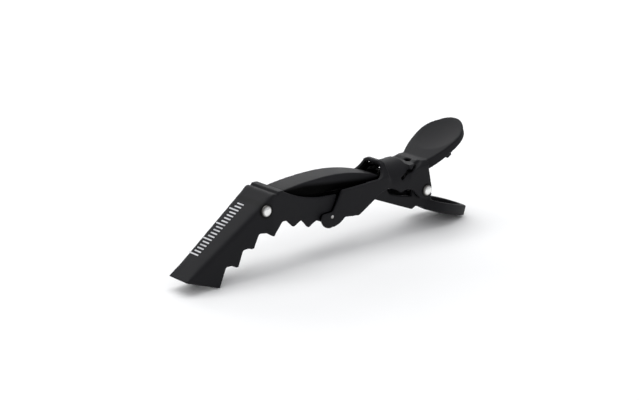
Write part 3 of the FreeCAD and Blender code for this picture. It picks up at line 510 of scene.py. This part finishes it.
def stopped_share(vertex):
    """The share of looks out of this vertex that a wall stops."""
    start = vertex.co + vertex.normal * LOOK_START
    hits = [wall_tree.ray_cast(start, (vertex.normal + look).normalized(), LOOK_REACH)[0] for look in looks]
    return sum(hit is not None for hit in hits) / len(looks)


for piece in mouldings:
    shares = [stopped_share(vertex) for vertex in piece.data.vertices]
    piece.data.attributes.new("recess", "FLOAT", "POINT").data.foreach_set("value", shares)
    print(piece.name, "mean recess", round(sum(shares) / len(shares), 2))

# %% [markdown]
# ## Rivets
# Each rivet is turned: a dome with a thin rim on the near side, a shank, and a rolled end on the far side,
# with the small dimple that the setting tool leaves. One profile spun round its axis gives a smooth dome.


# %% Spin a profile round an axis across the clip
def spun(name, profile, centre, material, steps=64):
    """A closed turned piece. The profile is (radius, y) in mm, and starts and ends on the axis."""
    corners = [Vector((0, profile[0][1], 0))]
    faces = []
    rings = len(profile) - 2
    for radius, y in profile[1:-1]:
        for step in range(steps):
            turn = math.tau * step / steps
            corners.append(Vector((radius * math.cos(turn), y, radius * math.sin(turn))))
    corners.append(Vector((0, profile[-1][1], 0)))
    for step in range(steps):
        following = (step + 1) % steps
        faces.append((0, 1 + step, 1 + following))
        for ring in range(rings - 1):
            low, high = 1 + ring * steps, 1 + (ring + 1) * steps
            faces.append((low + step, high + step, high + following, low + following))
        last = 1 + (rings - 1) * steps
        faces.append((last + step, len(corners) - 1, last + following))
    mesh = bpy.data.meshes.new(name)
    mesh.from_pydata([Vector(centre) + corner * MM for corner in corners], [], faces)
    mesh.materials.append(material)
    piece = bpy.data.objects.new(name, mesh)
    bpy.context.scene.collection.objects.link(piece)
    return piece


# %% Draw the rivet profile
DOME_RISE = 0.85        # mm
RIM_THICK = 0.25        # mm


def rivet_profile(node, pin_radius):
    """Profile of a rivet between the two ends of its CAD node."""
    low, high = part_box(node)
    head, tail = low.y / MM, high.y / MM
    seat = head + DOME_RISE + RIM_THICK
    rim = RIVET_RADIUS / MM
    dome = [(rim * math.sin(turn), seat - RIM_THICK - DOME_RISE * math.cos(turn))
            for turn in np.linspace(0, math.pi / 2, 15)]
    rim_round = [(rim, seat - 0.18), (rim, seat - 0.04), (rim - 0.04, seat), (pin_radius, seat)]
    rolled = [(pin_radius, tail - 0.7), (1.56, tail - 0.7), (1.6, tail - 0.62), (1.52, tail - 0.36),
              (1.28, tail - 0.1), (0.98, tail), (0.72, tail - 0.05), (0.5, tail - 0.2), (0, tail - 0.24)]
    return dome + rim_round + rolled


# %% Make the two rivets
for node, body, pin_radius, centre, material in (
        ("front_rivet", "front_jaw", 0.9, FRONT_PIN, front_nickel),
        ("main_rivet", "rear_jaw", 1.3, MAIN_PIN, main_nickel)):
    rivet = spun(node + "_turned", rivet_profile(node, pin_radius), Vector((centre.x, 0, centre.z)), material)
    rivet.data.polygons.foreach_set("use_smooth", [True] * len(rivet.data.polygons))
    rivet.data.set_sharp_from_angle(angle=math.radians(50))
    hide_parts(node)
    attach(rivet, body)
    print(rivet.name, len(rivet.data.polygons), "faces")

# %% [markdown]
# ## Geometry Nodes
# Two things here follow a rule: the spring, a wire that follows a path, and the row of printed ticks. Each is
# a small node tree with named inputs. `Recipe` writes such a tree and turns its result into a plain mesh.


# %% A helper that writes a geometry tree
class Recipe:
    """One Geometry Nodes tree, with named inputs for its sizes."""

    def __init__(self, name, inputs):
        self.tree = bpy.data.node_groups.new(name, "GeometryNodeTree")
        self.tree.interface.new_socket("Geometry", in_out="INPUT", socket_type="NodeSocketGeometry")
        for label, kind in inputs.items():
            self.tree.interface.new_socket(label, in_out="INPUT", socket_type="NodeSocket" + kind)
        self.tree.interface.new_socket("Geometry", in_out="OUTPUT", socket_type="NodeSocketGeometry")
        self.given = self.tree.nodes.new("NodeGroupInput").outputs

    def add(self, kind, settings=None, sockets=None):
        """Adds a node and gives back its outputs."""
        node = self.tree.nodes.new(kind)
        for label, value in (settings or {}).items():
            setattr(node, label, value)
        for label, value in (sockets or {}).items():
            socket = node.inputs[label] if isinstance(label, int) else next(
                item for item in node.inputs if item.name == label and item.enabled)
            if isinstance(value, bpy.types.NodeSocket):
                self.tree.links.new(value, socket)
            else:
                socket.default_value = value
        return node.outputs

    def finish(self, geometry, material):
        """Ends the tree in real geometry with a material."""
        real = self.add("GeometryNodeRealizeInstances", None, {"Geometry": geometry})["Geometry"]
        done = self.add("GeometryNodeSetMaterial", None, {"Geometry": real, "Material": material})["Geometry"]
        self.tree.links.new(done, self.tree.nodes.new("NodeGroupOutput").inputs["Geometry"])

    def cook(self, piece, **sizes):
        """Runs the tree on a piece with these sizes, and keeps the result as its mesh."""
        modifier = piece.modifiers.new(self.tree.name, "NODES")
        modifier.node_group = self.tree
        for item in self.tree.interface.items_tree:
            if item.item_type == "SOCKET" and item.in_out == "INPUT" and item.name in sizes:
                modifier[item.identifier] = sizes[item.name]
        return settle(piece)


print("recipe helper ready")

# %% [markdown]
# ### The torsion spring
# Four and a half turns of wire wind round the main rivet. One end presses up under the thumb lever and the
# other down on the finger lever. The path is a helix with two straight legs, its corners are cut three times
# to round them, and the tree gives it its round section.

# %% Work out the wire's path
COIL_RADIUS = 2.15      # mm, to the middle of the wire
TURNS = 4.5
STEPS_PER_TURN = 40
HALF_COIL = 2.8         # mm from the middle of the clip to each end of the coil
UPPER_TILT, UPPER_LEG = math.radians(50), 9.5
LOWER_TILT, LOWER_LEG = math.radians(18), 11.3


def leg(tilt, length, y, z):
    """Two points of a leg that leaves the coil at height z: near the coil and at its end."""
    way = Vector((math.cos(tilt), 0, math.sin(tilt)))
    return [Vector((0, y, z)) + way * reach for reach in (1.4, length)]


def coil_point(share):
    """A point of the helix, from its top at share 0 on the near side to share 1 on the far side."""
    turn = math.pi / 2 + math.tau * TURNS * share
    return Vector((COIL_RADIUS * math.cos(turn), HALF_COIL * (2 * share - 1), COIL_RADIUS * math.sin(turn)))


steps = int(TURNS * STEPS_PER_TURN)
coil = [coil_point(step / steps) for step in range(steps + 1)]
path = leg(UPPER_TILT, UPPER_LEG, -HALF_COIL, COIL_RADIUS)[::-1] + coil[3:-3]
path += leg(-LOWER_TILT, LOWER_LEG, HALF_COIL, -COIL_RADIUS)
for _ in range(3):
    cut = [path[0]]
    for here, there in zip(path, path[1:]):
        cut += [here.lerp(there, 0.25), here.lerp(there, 0.75)]
    path = cut + [path[-1]]
path = path[:1] + path[1:-1:4] + path[-1:]
print("wire path:", len(path), "points")

# %% Sweep the wire
wire_tree = Recipe("round_wire", {"Wire radius": "Float", "Sides": "Int"})
line = wire_tree.add("GeometryNodeMeshToCurve", None, {"Mesh": wire_tree.given["Geometry"]})["Curve"]
ring = wire_tree.add("GeometryNodeCurvePrimitiveCircle", None, {
    "Resolution": wire_tree.given["Sides"], "Radius": wire_tree.given["Wire radius"]})["Curve"]
swept = wire_tree.add("GeometryNodeCurveToMesh", None, {
    "Curve": line, "Profile Curve": ring, "Fill Caps": True})["Mesh"]
wire_tree.finish(swept, spring_steel)

thread = bpy.data.meshes.new("spring_path")
centre = Vector((MAIN_PIN.x, 0, MAIN_PIN.z))
thread.from_pydata([centre + point * MM for point in path], [(k, k + 1) for k in range(len(path) - 1)], [])
spring = bpy.data.objects.new("torsion_spring_wire", thread)
bpy.context.scene.collection.objects.link(spring)
wire_tree.cook(spring, **{"Wire radius": 0.49 * MM, "Sides": 20})
spring.data.polygons.foreach_set("use_smooth", [True] * len(spring.data.polygons))
spring.data.set_sharp_from_angle(angle=math.radians(50))
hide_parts("torsion_spring")
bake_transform(spring)
print(spring.name, len(spring.data.polygons), "faces")

# %% [markdown]
# ### The printed mark
# The head carries a pad-printed mark. Here it is a plain row of ticks, with every fifth one longer. One tick
# is a rounded outline, filled and thickened; the tree sets a copy on each point of a line and stretches some.

# %% Draw one tick
tick_tree = Recipe("tick_row", {"Ticks": "Int", "Pitch": "Float", "Width": "Float", "Length": "Float",
                                "Long share": "Float", "Every": "Int", "Ink": "Float"})
given = tick_tree.given


def tick_math(operation, first, second):
    return tick_tree.add("ShaderNodeMath", {"operation": operation}, {0: first, 1: second})["Value"]


outline = tick_tree.add("GeometryNodeCurvePrimitiveQuadrilateral", None,
                        {"Width": given["Width"], "Height": given["Length"]})["Curve"]
half_length = tick_math("MULTIPLY", given["Length"], 0.5)
lift = tick_tree.add("ShaderNodeCombineXYZ", None, {"Y": half_length})["Vector"]
outline = tick_tree.add("GeometryNodeSetPosition", None, {"Geometry": outline, "Offset": lift})["Geometry"]
outline = tick_tree.add("GeometryNodeFilletCurve", {"mode": "POLY"}, {
    "Curve": outline, "Count": 5, "Radius": tick_math("MULTIPLY", given["Width"], 0.48)})["Curve"]
flat = tick_tree.add("GeometryNodeFillCurve", {"mode": "NGONS"}, {"Curve": outline})["Mesh"]
raised = tick_tree.add("GeometryNodeExtrudeMesh", None, {
    "Mesh": flat, "Offset Scale": given["Ink"], "Individual": False})["Mesh"]
underside = tick_tree.add("GeometryNodeFlipFaces", None, {"Mesh": flat})["Mesh"]
joined = tick_tree.tree.nodes.new("GeometryNodeJoinGeometry")
for half in (raised, underside):
    tick_tree.tree.links.new(half, joined.inputs["Geometry"])
tick = tick_tree.add("GeometryNodeMergeByDistance", None,
                     {"Geometry": joined.outputs["Geometry"], "Distance": 0.001 * MM})["Geometry"]
print("one tick drawn")

# %% Set a tick on each point of a line
step_along = tick_tree.add("ShaderNodeCombineXYZ", None, {"X": given["Pitch"]})["Vector"]
row = tick_tree.add("GeometryNodeMeshLine", None, {"Count": given["Ticks"], "Offset": step_along})["Mesh"]
index = tick_tree.add("GeometryNodeInputIndex")["Index"]
is_long = tick_math("LESS_THAN", tick_math("MODULO", index, given["Every"]), 0.5)
stretch = tick_tree.add("ShaderNodeMapRange", None, {"Value": is_long, "To Min": 1.0,
                                                     "To Max": given["Long share"]})["Result"]
scale = tick_tree.add("ShaderNodeCombineXYZ", None, {"X": 1.0, "Y": stretch, "Z": 1.0})["Vector"]
ticks = tick_tree.add("GeometryNodeInstanceOnPoints", None,
                      {"Points": row, "Instance": tick, "Scale": scale})["Instances"]
tick_tree.finish(ticks, ink)
print("tick tree:", len(tick_tree.tree.nodes), "nodes")

# %% Print the row of ticks
ROW_BELOW = 5.6         # mm from the middle of the head down to the first tick
ROW_ASIDE = 0.35        # mm from the middle line to the foot of the ticks
INK_SUNK = 0.04         # mm that the ink reaches into the face
blank = bpy.data.meshes.new("tick_seed")
mark = bpy.data.objects.new("printed_ticks", blank)
bpy.context.scene.collection.objects.link(mark)
tick_tree.cook(mark, **{"Ticks": 18, "Pitch": 1.18 * MM, "Width": 0.44 * MM, "Length": 2.9 * MM,
                        "Long share": 1.45, "Every": 5, "Ink": 0.07 * MM})
across_face = Vector((0, 1, 0))
first_foot = FACE_POINT + (across_face * ROW_ASIDE - FACE_UPHILL * ROW_BELOW - FACE_NORMAL * INK_SUNK) * MM
upright = Matrix((FACE_UPHILL, across_face, FACE_NORMAL)).transposed().to_4x4()
mark.data.transform(Matrix.Translation(first_foot) @ upright)
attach(mark, "front_jaw")
print(mark.name, len(mark.data.polygons), "faces")

# %% [markdown]
# ## The studio
# The clip lies on a pale table in a white room. A wide soft light above makes its upward faces a little
# lighter than its sides, and a long strip behind draws the pale lines along its edges.

# %% Lay the floor
floor_paint = Finish("pale_floor", Roughness=0.8, Specular_IOR_Level=0.1)
floor_paint.colour(floor_paint.blend(floor_paint.noise(40.0, 2.0), (0.90, 0.90, 0.90), (0.93, 0.93, 0.93)))
floor_mesh = bpy.data.meshes.new("floor")
REACH = 6.0             # m from the middle to each edge
floor_mesh.from_pydata([(-REACH, -REACH, 0), (REACH, -REACH, 0), (REACH, REACH, 0), (-REACH, REACH, 0)], [],
                       [(0, 1, 2, 3)])
floor_mesh.materials.append(floor_paint.material)
floor = bpy.data.objects.new("floor", floor_mesh)
bpy.context.scene.collection.objects.link(floor)
print("floor reaches", REACH, "m each way")


# %% Hang the lights
def soft_light(name, place, size, power):
    """A rectangular light that faces the clip."""
    lamp = bpy.data.lights.new(name, "AREA")
    lamp.shape = "RECTANGLE"
    lamp.size, lamp.size_y = size
    lamp.energy = power
    holder = bpy.data.objects.new(name, lamp)
    holder.location = place
    holder.rotation_euler = (Vector(place) - aim).to_track_quat("Z", "Y").to_euler()
    bpy.context.scene.collection.objects.link(holder)


soft_light("overhead", (0.02, 0.20, 0.80), (0.9, 0.7), 3.6)
soft_light("front_left", (-0.60, -0.35, 0.40), (0.25, 0.25), 0.7)
soft_light("edge_strip", (0.25, 0.60, 0.30), (0.8, 0.15), 1.6)
room = bpy.data.worlds.new("white_room")
room.use_nodes = True
sky = next(node for node in room.node_tree.nodes if node.type == "BACKGROUND")
sky.inputs["Color"].default_value = (0.97, 0.98, 1.0, 1)
sky.inputs["Strength"].default_value = 0.64
bpy.context.scene.world = room
bpy.context.scene.view_settings.view_transform = "Standard"
